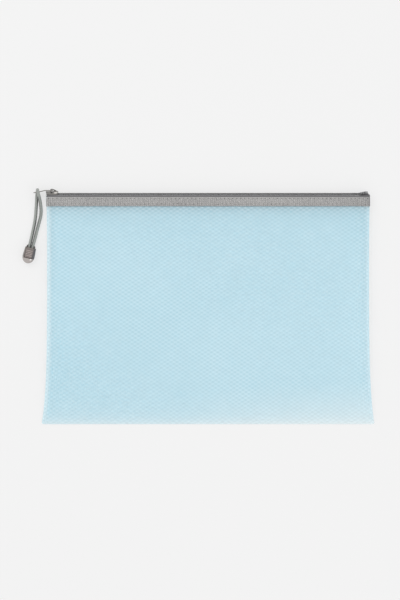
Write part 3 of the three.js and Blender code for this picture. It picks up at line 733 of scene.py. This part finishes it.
def make_film():
    rises = sheet_rises()
    points, faces, rims, shades, inside, backs = [], [], [], [], [], []
    for side in (1, -1):
        top, x, rise = sheet_grid(rises, side, 0.0)
        bottom, _, _ = sheet_grid(rises, side, SHEET_THICK)
        p, f = slab_mesh(top, bottom)
        start = sum(len(q) for q in points)
        faces += (np.array(f) + start)[:, :: side].tolist()
        points.append(p)
        count = (x.shape[0] - 1) * (x.shape[1] - 1)
        inside.append(np.arange(len(f)) // count == 1)
        # Pale welds, and painted light low on the sheet, at its right corner and at the fold.
        rims += [paleness(x, rise).reshape(-1)] * 2
        # The tape's painted shadow on the film below it.
        shades += [tape_shade(rise).reshape(-1)] * 2
        backs.append(np.full(len(p), float(side < 0)))
    film = add_mesh("pouch_film", np.concatenate(points), faces, FILM, "pouch")
    film.data.materials.append(FILM_INSIDE)
    film.data.polygons.foreach_set("material_index", np.concatenate(inside).astype(np.int32))
    store(film, "weld_pale_and_painted_light", np.concatenate(rims))
    store(film, "painted_tape_shadow", np.concatenate(shades))
    store(film, "back", np.concatenate(backs))
    return film


film = make_film()
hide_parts("pouch_sheet")

# Zipper chain, as in the solids

END_X = float(half_width_at(np.array(SHEET_HEIGHT))) - TAPE_END_INSET
SLIDER_TAIL_X = -END_X - SLIDER_OVERHANG + SLIDER_LENGTH
TAPE_GAP = FIT_GAP + TAPE_THICK / 2
FOLDED_GAP = RIM_HALF + TAPE_GAP


def leg_away(x, y):
    """How far the tape's middle line stands from the pouch's middle plane."""
    rise = np.minimum(SHEET_HEIGHT, y - FOLD_Y)
    return np.minimum(TAPE_HALF, half_depth_at(x, rise) + TAPE_GAP)


def chain_fold(x):
    """The angle by which each half folds over towards the right end."""
    share = (leg_away(x, MOUTH_Y) - FOLDED_GAP) / (TAPE_HALF - FOLDED_GAP)
    return np.where(x < 0, 0.0, np.arccos(np.clip(share, 0, 1)))


def end_dip_at(x, across):
    """How far the closed end's last millimetres bend down."""
    t = np.clip((x - END_X + END_DIP_RUN) / END_DIP_RUN, 0, 1)
    share = np.clip(1 - across / (TAPE_HALF - TAPE_BEND), 0, 1)
    return END_DIP * share * (1 - np.sqrt(1 - t * t))


def parting_at(x):
    """How far the slider's post holds each coil off the chain's middle."""
    return PARTING_MOST * smooth((SLIDER_TAIL_X - PARTING_START - x) / PARTING_RUN)


def zip_point(side, x, across, out):
    """A point of one half: across from the chain's middle and out from the tape, folded as there."""
    x, across, out = np.broadcast_arrays(np.asarray(x, float), across, out)
    fold = chain_fold(x)
    level = TAPE_PLANE_Y + RISE_SHARE * TAPE_HALF * np.sin(fold) ** 2 - end_dip_at(x, across)
    y = level - across * np.sin(fold) + out * np.cos(fold)
    away = across * np.cos(fold) + out * np.sin(fold) + FOLDED_GAP * (1 - np.cos(fold))
    return np.stack([x, y, CHAIN_Z + side * away], -1)


# How far before its end the chain comes into shade, and over what run
FOLDED_RUN = 24
FOLDED_FADE = 10


def folded_end(x):
    """0 along the chain, 1 where it folds over at the closed right end, which lies in shade."""
    return smooth((x - END_X + FOLDED_RUN) / FOLDED_FADE)


def both_halves(make, kind):
    for face, side in (("front", 1), ("back", -1)):
        make(f"{face}_{kind}", side)


# Tapes


def tape_profile(x):
    """Middle line of one tape at each x, as (away, y)."""

    def at(across):
        p = zip_point(1, x, across, 0.0)
        return np.stack([p[:, 2] - CHAIN_Z, p[:, 1]], -1)

    shoulder = at(TAPE_HALF)
    shoulder[:, 0] = leg_away(x, MOUTH_Y)
    shoulder[:, 1] = np.maximum(shoulder[:, 1], MOUTH_Y + TAPE_OVER_EDGE)
    before = at(TAPE_HALF - TAPE_BEND)
    after_y = shoulder[:, 1] - TAPE_BEND
    after = np.stack([leg_away(x, after_y), after_y], -1)
    line = [at(a) for a in np.linspace(TAPE_INNER_EDGE, TAPE_HALF - TAPE_BEND, 6)[:-1]]
    for t in np.linspace(0, 1, 7):
        line.append((1 - t) ** 2 * before + 2 * t * (1 - t) * shoulder + t * t * after)
    for t in np.concatenate([np.linspace(0.03, 0.12, 4), np.linspace(0.16, 1, 9)]):
        y = after_y + (TAPE_FOOT_Y - after_y) * t
        line.append(np.stack([leg_away(x, y), y], -1))
    return np.stack(line, 1)


# Lines at the tape's edges, a painted shade and a painted highlight: how far each reaches from the mouth
# or the right end, and its share
DARK_LINE = 0.6
LIGHT_LINE = 1.2
LIGHT_SHARE = 0.4
DARK_END = 1.3
DARK_END_SHARE = 0.7


def edge_shades(points):
    """The painted shade along the chain and at the right end, and the painted highlight line under the
    first.
    """
    above_mouth = points[:, 1] - MOUTH_Y
    at_end = DARK_END_SHARE * smooth((points[:, 0] - END_X + DARK_END) / 0.5)
    at_chain = smooth((above_mouth + DARK_LINE) / DARK_LINE)
    light = LIGHT_SHARE * smooth((above_mouth + LIGHT_LINE) / 0.4)
    return np.maximum(at_end, at_chain), light


def make_tape(name, side):
    ends = np.array([0, 0.15, 0.5])
    x = np.concatenate([-END_X + ends, np.linspace(-END_X + 1, END_X - 1, 240), END_X - ends[::-1]])
    line = tape_profile(x)
    along = np.gradient(line, axis=1)
    along /= np.linalg.norm(along, axis=2)[:, :, None]
    grids = []
    for offset in (TAPE_THICK / 2, -TAPE_THICK / 2):
        away = line[:, :, 0] - along[:, :, 1] * offset
        y = line[:, :, 1] + along[:, :, 0] * offset
        cut = TAPE_CORNER_CUT * smooth(1 - (x + END_X) / TAPE_CORNER_CUT)
        high = smooth((line[:, :, 1] - MOUTH_Y + TAPE_BEND) / (2 * TAPE_BEND))
        xs = x[:, None] + cut[:, None] * high
        grids.append(np.stack([xs, y, CHAIN_Z + side * away], -1))
    points, faces = slab_mesh(*grids)
    obj = add_mesh(name + "_woven", points, np.array(faces)[:, ::-side], TAPE, "pouch")
    dark, light = edge_shades(points)
    store(obj, "painted_edge_shade", dark)
    store(obj, "painted_edge_highlight", light)
    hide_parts(name, name + "_left", name + "_right")


both_halves(make_tape, "tape")

# Coils: a round filament that turns round four corners in each pitch

COIL_FOOT = TAPE_THICK / 2 + RUN_GAP / 2
WIRE_LOW = COIL_FOOT + WIRE / 2
WIRE_HIGH = COIL_FOOT + COIL_HEIGHT - WIRE / 2
WIRE_HEAD = WIRE / 2 - HEAD_REACH
WIRE_BACK = COIL_BACK - WIRE / 2
WIRE_SIDES = 8
WIRE_ROUNDING = 0.28


def coil_starts(side):
    start = -END_X + COIL_INSET + (0 if side > 0 else COIL_PITCH / 2)
    turns = int((END_X - COIL_END_INSET - start) // COIL_PITCH)
    return start, turns


def make_coil(name, side):
    start, turns = coil_starts(side)
    corners = []
    for turn in range(turns):
        x = start + turn * COIL_PITCH
        corners += [
            (x, WIRE_HEAD, WIRE_HIGH),
            (x, WIRE_HEAD, WIRE_LOW),
            (x, WIRE_BACK, WIRE_LOW),
            (x + COIL_PITCH, WIRE_BACK, WIRE_HIGH),
        ]
    corners = np.array(corners)
    line = []
    for k in range(1, len(corners) - 1):
        before, here, after = corners[k - 1 : k + 2]
        a = here + (before - here) * WIRE_ROUNDING
        b = here + (after - here) * WIRE_ROUNDING
        for t in (0.0, 0.5, 1.0):
            line.append((1 - t) ** 2 * a + 2 * t * (1 - t) * here + t * t * b)
    line = np.array(line)
    path = zip_point(side, line[:, 0], line[:, 1] + parting_at(line[:, 0]), line[:, 2])
    obj = add_tubes(name + "_filament", [path], WIRE / 2, WIRE_SIDES, COIL, "pouch")
    level = (line[:, 2] - WIRE_LOW) / (WIRE_HIGH - WIRE_LOW)
    # The folded right end takes the top's dark tone as painted shade.
    store(obj, "level", np.repeat(np.maximum(level, folded_end(line[:, 0])), WIRE_SIDES))
    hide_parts(name)


both_halves(make_coil, "coil")

# Cores

CORE_LAY = 1.1
CORE_UNEVEN = 0.08
CORE_STEP = 0.5


def make_core(name, side):
    """The cord inside a coil's loops, with the slight waists of its twist."""
    across = (HEAD_REACH + WIRE_BACK - WIRE / 2) / 2
    out = (WIRE_LOW + WIRE_HIGH) / 2
    end = END_X - COIL_INSET - COIL_END_INSET
    x = np.arange(-end, end, CORE_STEP)
    path = zip_point(side, x, across + parting_at(x), out)
    radius = CORE_RADIUS * (1 + CORE_UNEVEN * np.sin(2 * math.pi * x / CORE_LAY))
    obj = add_tubes(name + "_cord", [path], radius, 8, THREAD, "pouch")
    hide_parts(name)


both_halves(make_core, "core")

# Stitches

STITCH_ROWS = (1.05, 1.75)
STITCH_INSET = 0.4
STITCH_THREAD = 0.12
STITCH_SIDES = 6
STITCH_SINK = 0.28
STITCH_LIFT = 0.16
STITCH_LAG = 2.2
STITCH_SWAY = 0.1


def make_stitches(name, side):
    """Two rows of lock stitches that hold a coil to its tape: one long loop over each turn."""
    start, turns = coil_starts(side)
    paths = []
    for row in STITCH_ROWS:
        end = start + turns * COIL_PITCH - 2 * STITCH_INSET
        x = np.arange(start + STITCH_INSET, end, COIL_PITCH / 8)
        phase = 2 * math.pi * (x - start) / COIL_PITCH
        out = COIL_FOOT + COIL_HEIGHT - STITCH_SINK + STITCH_LIFT * np.cos(phase - STITCH_LAG)
        across = row + STITCH_SWAY * np.sin(phase)
        paths.append(zip_point(side, x, across + parting_at(x), out))
    obj = add_tubes(name, paths, STITCH_THREAD, STITCH_SIDES, THREAD, "pouch")
    shaded = [folded_end(path[:, 0]) for path in paths]
    store(obj, "shaded", np.repeat(np.concatenate(shaded), STITCH_SIDES))


both_halves(make_stitches, "stitches")

# Seams: two rows of stitches that hold each tape to the sheet, each as its level and its shift

SEAM_PITCH = 4.16
SEAM_ROWS = [(112.3, 0.0), (106.6, 0.5)]
SEAM_END_INSET = 2.2
SEAM_THREAD = 0.17
SEAM_PROUD = 0.13
SEAM_DIP = 0.42
SEAM_DIP_HALF = 0.34
SEAM_STEP = 0.13
SEAM_SWAY = 0.05
HOLE_RADIUS = 0.68
HOLE_FLATNESS = 0.7
HOLE_SIDES = 10


def on_tape(side, x, y, out):
    """Points a small way out from the tape's outer face."""
    away = leg_away(x, y) + TAPE_THICK / 2 + out
    return np.stack(np.broadcast_arrays(x, y, CHAIN_Z + side * away), -1)


def make_seams(name, side):
    """Thread that dips into a needle hole at each stitch, each hole a flat dark disc of painted shade.
    The back's lies flush, as on the table.
    """
    paths, rings, faces = [], [], []
    proud = SEAM_PROUD if side > 0 else 0.0
    turn = 2 * math.pi * np.arange(HOLE_SIDES) / HOLE_SIDES
    for y, shift in SEAM_ROWS:
        first = math.ceil((SEAM_END_INSET - END_X) / SEAM_PITCH - shift) + shift
        last = math.floor((END_X - SEAM_END_INSET) / SEAM_PITCH - shift) + shift
        holes = np.arange(first, last + 0.5) * SEAM_PITCH
        x = np.arange(holes[0], holes[-1], SEAM_STEP)
        past = (x - holes[0]) % SEAM_PITCH
        off = np.minimum(past, SEAM_PITCH - past)
        out = proud - SEAM_DIP * np.exp(-((off / SEAM_DIP_HALF) ** 2))
        paths.append(on_tape(side, x, y + SEAM_SWAY * np.sin(x * 1.9), out))
        for hole in holes:
            start = len(rings) * HOLE_SIDES
            ring_x = hole + HOLE_RADIUS * np.cos(turn)
            ring_y = y + HOLE_RADIUS * HOLE_FLATNESS * np.sin(turn)
            rings.append(on_tape(side, ring_x, ring_y, 0.02))
            faces.append([start + k for k in range(HOLE_SIDES)][::side])
    threads = add_tubes(name, paths, SEAM_THREAD, 8, THREAD, "pouch")
    marks = add_mesh(name + "_holes", np.concatenate(rings), faces, HOLE, "pouch")


both_halves(make_seams, "seams")

# Metal parts keep their solids, with softened edges


def dress(node, material):
    """Gives a solid of the frame its material."""
    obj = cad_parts[node]
    obj.data.materials.clear()
    obj.data.materials.append(material)
    return obj


def soften(node, material, width_mm):
    """Gives a solid its material and rounds its edges."""
    bevel = dress(node, material).modifiers.new("edges", "BEVEL")
    bevel.width = width_mm * MM
    bevel.segments = 2
    bevel.limit_method = "ANGLE"
    bevel.angle_limit = math.radians(35)
    bevel.harden_normals = False


LOCK_CAP_BACK = 5.0
LOCK_CAP_LENGTH = 3.6
LOCK_CAP_SINK = 0.02
LOCK_CAP_EDGE = 0.12
LOCK_CAP_RISE = 0.95
LOCK_CAP_ROWS = (-1.0, -0.85, -0.5, 0.5, 0.85, 1.0)


def make_lock_cap():
    """The small cap over the slider's lock, inside the bail beside the link's end."""
    t = np.linspace(0, 1, 15)
    x = SLIDER_TAIL_X - LOCK_CAP_BACK + LOCK_CAP_LENGTH * t
    crown = np.sin(math.pi * (0.2 + 0.8 * t)) ** 0.8
    grids = []
    for share in (1.0, 0.0):
        rows = []
        for z in LOCK_CAP_ROWS:
            edge = 1 - 0.35 * max(0.0, abs(z) - 0.5) ** 2 / 0.25
            level = PLATE_TOP_Y - LOCK_CAP_SINK + share * (LOCK_CAP_EDGE + LOCK_CAP_RISE * crown) * edge
            rows.append(np.stack([x, level, np.full_like(x, CHAIN_Z + z)], -1))
        grids.append(np.stack(rows, 1))
    points, faces = slab_mesh(*grids)
    obj = add_mesh("slider_lock_cap", points, faces, SPRING, "slider")


make_lock_cap()
soften("slider_body", SLIDER, 0.12)
soften("slider_bail", SLIDER, 0.12)
soften("puller_link", LINK, 0.1)
soften("tag_shell", TAG, 0.15)
soften("tag_cover", TAG_COVER, 0.1)

# Cord: the solids' route, braided

CORD_DIAMETER = 3.2
CORD_STEP = 0.2
CORD_SIDES = 64
BRAID_STRANDS = 8
BRAID_CELL = 1.5
BRAID_RELIEF = 0.22
BRAID_PROUD = 0.1

# Painted shade where the cord's halves lie close together: how dark it is on each, and the spacing at
# which it is gone
GROOVE_SHARES = (0.95, 0.7)
GROOVE_REACH = 7.0
GROOVE_FADE = 3.0

# Route: the halves are placed from the grip's mouth, the loop from the link's side bar
BAR_PLACE = (-173.67632, 118.873, CHAIN_Z + 2.8)
OUTER_HALF = [
    [-3.6, -7.5, 3.85],
    [-1.6, 0.5, 3.85],
    [-0.3, 6.0, 3.1],
    [1.3, 13.5, 1.8],
    [3.2, 22.5, 1.7],
    [4.3, 30.6, 1.75],
    [4.8, 37.6, 2.3],
]
LOOP = [
    [-1.4, -9.8, -5.2],
    [-1.1, -4.5, -3.8],
    [-0.55, -0.5, -2.75],
    [-0.3, 1.7, -1.85],
    [-0.2, 2.2, 0],
    [-0.05, 1.7, 1.9],
    [0.5, -0.8, 2.75],
    [1.4, -4.6, 1.4],
    [2.4, -9.8, -2.2],
]
INNER_HALF = [
    [9.8, 37.6, 3.3],
    [9.6, 30.6, 1.8],
    [7.7, 22.5, 1.7],
    [5.5, 14.2, 1.8],
    [3.6, 6.4, 3.0],
    [1.8, -0.1, 3.85],
    [-0.4, -8.3, 3.85],
]


def moved(points, x, y, z=0.0):
    return [[a + x, b + y, c + z] for a, b, c in points]


CORD_POINTS = moved(OUTER_HALF, *GRIP_MOUTH) + moved(LOOP, *BAR_PLACE) + moved(INNER_HALF, *GRIP_MOUTH)


def spline(points, step):
    """A smooth line through points, with even steps."""
    p = np.array(points, float)
    p = np.vstack([2 * p[0] - p[1], p, 2 * p[-1] - p[-2]])
    dense = []
    for k in range(1, len(p) - 2):
        p0, p1, p2, p3 = p[k - 1 : k + 3]
        t0 = 0.0
        t1 = t0 + np.linalg.norm(p1 - p0) ** 0.5
        t2 = t1 + np.linalg.norm(p2 - p1) ** 0.5
        t3 = t2 + np.linalg.norm(p3 - p2) ** 0.5
        t = np.linspace(t1, t2, 40, endpoint=False)[:, None]
        a1 = (t1 - t) / (t1 - t0) * p0 + (t - t0) / (t1 - t0) * p1
        a2 = (t2 - t) / (t2 - t1) * p1 + (t - t1) / (t2 - t1) * p2
        a3 = (t3 - t) / (t3 - t2) * p2 + (t - t2) / (t3 - t2) * p3
        b1 = (t2 - t) / (t2 - t0) * a1 + (t - t0) / (t2 - t0) * a2
        b2 = (t3 - t) / (t3 - t1) * a2 + (t - t1) / (t3 - t1) * a3
        dense.append((t2 - t) / (t2 - t1) * b1 + (t - t1) / (t2 - t1) * b2)
    dense = np.vstack(dense + [p[-2][None]])
    travelled = np.concatenate([[0], np.cumsum(np.linalg.norm(np.diff(dense, axis=0), axis=1))])
    even = np.linspace(0, travelled[-1], int(travelled[-1] / step) + 1)
    return np.column_stack([np.interp(even, travelled, dense[:, i]) for i in range(3)]), travelled[-1]


def groove_between(path, ring):
    """Painted shade: high where the two halves of the cord face each other closely, 0 on their outer
    sides.
    """
    low = path[:, 1] < BAR_PLACE[1] - 4
    first = np.arange(len(path)) < len(path) // 2
    shades = np.zeros(ring.shape[:2])
    halves = (first & low, ~first & low)
    for here, other, strength in zip(halves, halves[::-1], GROOVE_SHARES):
        offsets = path[other][None, :, :2] - path[here][:, None, :2]
        distance = np.linalg.norm(offsets, axis=2)
        nearest = distance.argmin(1)
        rows = np.arange(len(nearest))
        gap = distance[rows, nearest]
        towards = offsets[rows, nearest] / gap[:, None]
        facing = (ring[here][:, :, :2] * towards[:, None, :]).sum(2)
        close = smooth((GROOVE_REACH - gap) / GROOVE_FADE)[:, None]
        shades[here] = strength * smooth((facing - 0.05) / 0.5) * close
    return shades


def make_cord():
    """The cord with strands that pass over and under each other, two ways round it."""
    path, length = spline(CORD_POINTS, CORD_STEP)
    _, n, b = frames_along(path)
    s = np.linspace(0, length, len(path))[:, None]
    turn = (2 * math.pi * np.arange(CORD_SIDES) / CORD_SIDES)[None, :]
    u = BRAID_STRANDS * turn / (2 * math.pi) + s / (2 * BRAID_CELL)
    v = BRAID_STRANDS * turn / (2 * math.pi) - s / (2 * BRAID_CELL)
    over = (np.floor(u) + np.floor(v)) % 2 < 1
    across = np.where(over, u, v) % 1
    along = np.where(over, v, u) % 1
    height = np.sin(math.pi * across) ** 0.6 * (0.55 + 0.45 * np.sin(math.pi * along))
    radius = CORD_DIAMETER / 2 + BRAID_PROUD - BRAID_RELIEF + BRAID_RELIEF * height
    ring = np.cos(turn)[:, :, None] * n[:, None, :] + np.sin(turn)[:, :, None] * b[:, None, :]
    points = (path[:, None, :] + radius[:, :, None] * ring).reshape(-1, 3)
    cord = add_mesh("pull_cord_braid", points, tube_faces(len(path), CORD_SIDES), CORD, "pull")
    store(cord, "braid", height.reshape(-1))
    store(cord, "painted_groove_shade", groove_between(path, ring).reshape(-1))
    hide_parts("pull_cord")


make_cord()
dress("cord_knot", CORD)

# Floor, light and camera

# The photograph: a pixel's size at the chain, in millimetres, and the pixel at the frame's origin
IMAGE = (400, 600)
PIXEL = 1.02
ORIGIN_PX = (208.1, 308.6)
CENTRE_X = (IMAGE[0] / 2 - ORIGIN_PX[0]) * PIXEL
CENTRE_Y = (ORIGIN_PX[1] - IMAGE[1] / 2) * PIXEL
CAMERA_HEIGHT = 4000.0
SENSOR = 24.0
WORLD_LEVEL = 0.86
KEY_WATTS = 10.5
FILL_WATTS = 6.5
GLOW_SHARE = 0.75
FLOOR_HALF = 6.0  # metres, as are the lamps' places and sizes


def floor_material():
    """Pale and matt. The camera sees its shadows softened, as on a light table."""
    m = Nodes("floor")
    m.set(Base_Color=srgb(236, 236, 236), Roughness=0.9)
    glow = m.node("ShaderNodeEmission", {"Color": srgb(242, 242, 242), "Strength": 1.0}).outputs[0]
    seen = m.node("ShaderNodeLightPath").outputs["Is Camera Ray"]
    share = m.math("MULTIPLY", seen, GLOW_SHARE)
    blend = m.node("ShaderNodeMixShader", {0: share, 2: glow})
    m.tree.links.new(m.shader.outputs[0], blend.inputs[1])
    m.tree.links.new(blend.outputs[0], m.tree.nodes["Material Output"].inputs["Surface"])
    return m.material


def make_floor():
    mesh = bpy.data.meshes.new("floor")
    corners = [(x * FLOOR_HALF, y * FLOOR_HALF, 0) for x, y in ((-1, -1), (1, -1), (1, 1), (-1, 1))]
    mesh.from_pydata(corners, [], [(0, 1, 2, 3)])
    floor = bpy.data.objects.new("floor", mesh)
    floor.location.z = -0.1 * MM
    bpy.context.scene.collection.objects.link(floor)
    floor.data.materials.append(floor_material())


def add_area(name, place, size, watts):
    """A square lamp that points at the origin."""
    light = bpy.data.lights.new(name, "AREA")
    light.shape = "SQUARE"
    light.size = size
    light.energy = watts
    obj = bpy.data.objects.new(name, light)
    obj.location = place
    obj.rotation_euler = (-Vector(place)).to_track_quat("-Z", "Y").to_euler()
    bpy.context.scene.collection.objects.link(obj)


def make_light():
    world = bpy.data.worlds.new("studio")
    bpy.context.scene.world = world
    world.use_nodes = True
    background = world.node_tree.nodes["Background"]
    background.inputs["Color"].default_value = (1, 1, 1, 1)
    background.inputs["Strength"].default_value = WORLD_LEVEL
    add_area("key", (-0.9, 1.1, 1.6), 1.2, KEY_WATTS)
    add_area("fill", (1.2, -0.8, 1.4), 1.6, FILL_WATTS)


def make_camera():
    camera = bpy.data.cameras.new("camera")
    camera.sensor_fit = "VERTICAL"
    camera.sensor_height = SENSOR
    camera.lens = SENSOR * (CAMERA_HEIGHT - CHAIN_Z) / (IMAGE[1] * PIXEL)
    camera.clip_start = 0.1
    camera.clip_end = 50.0
    obj = bpy.data.objects.new("camera", camera)
    obj.location = (CENTRE_X * MM, CENTRE_Y * MM, CAMERA_HEIGHT * MM)
    bpy.context.scene.collection.objects.link(obj)
    bpy.context.scene.camera = obj


make_floor()
make_light()
make_camera()
bpy.context.scene.view_settings.view_transform = "Standard"

bpy.context.view_layer.update()
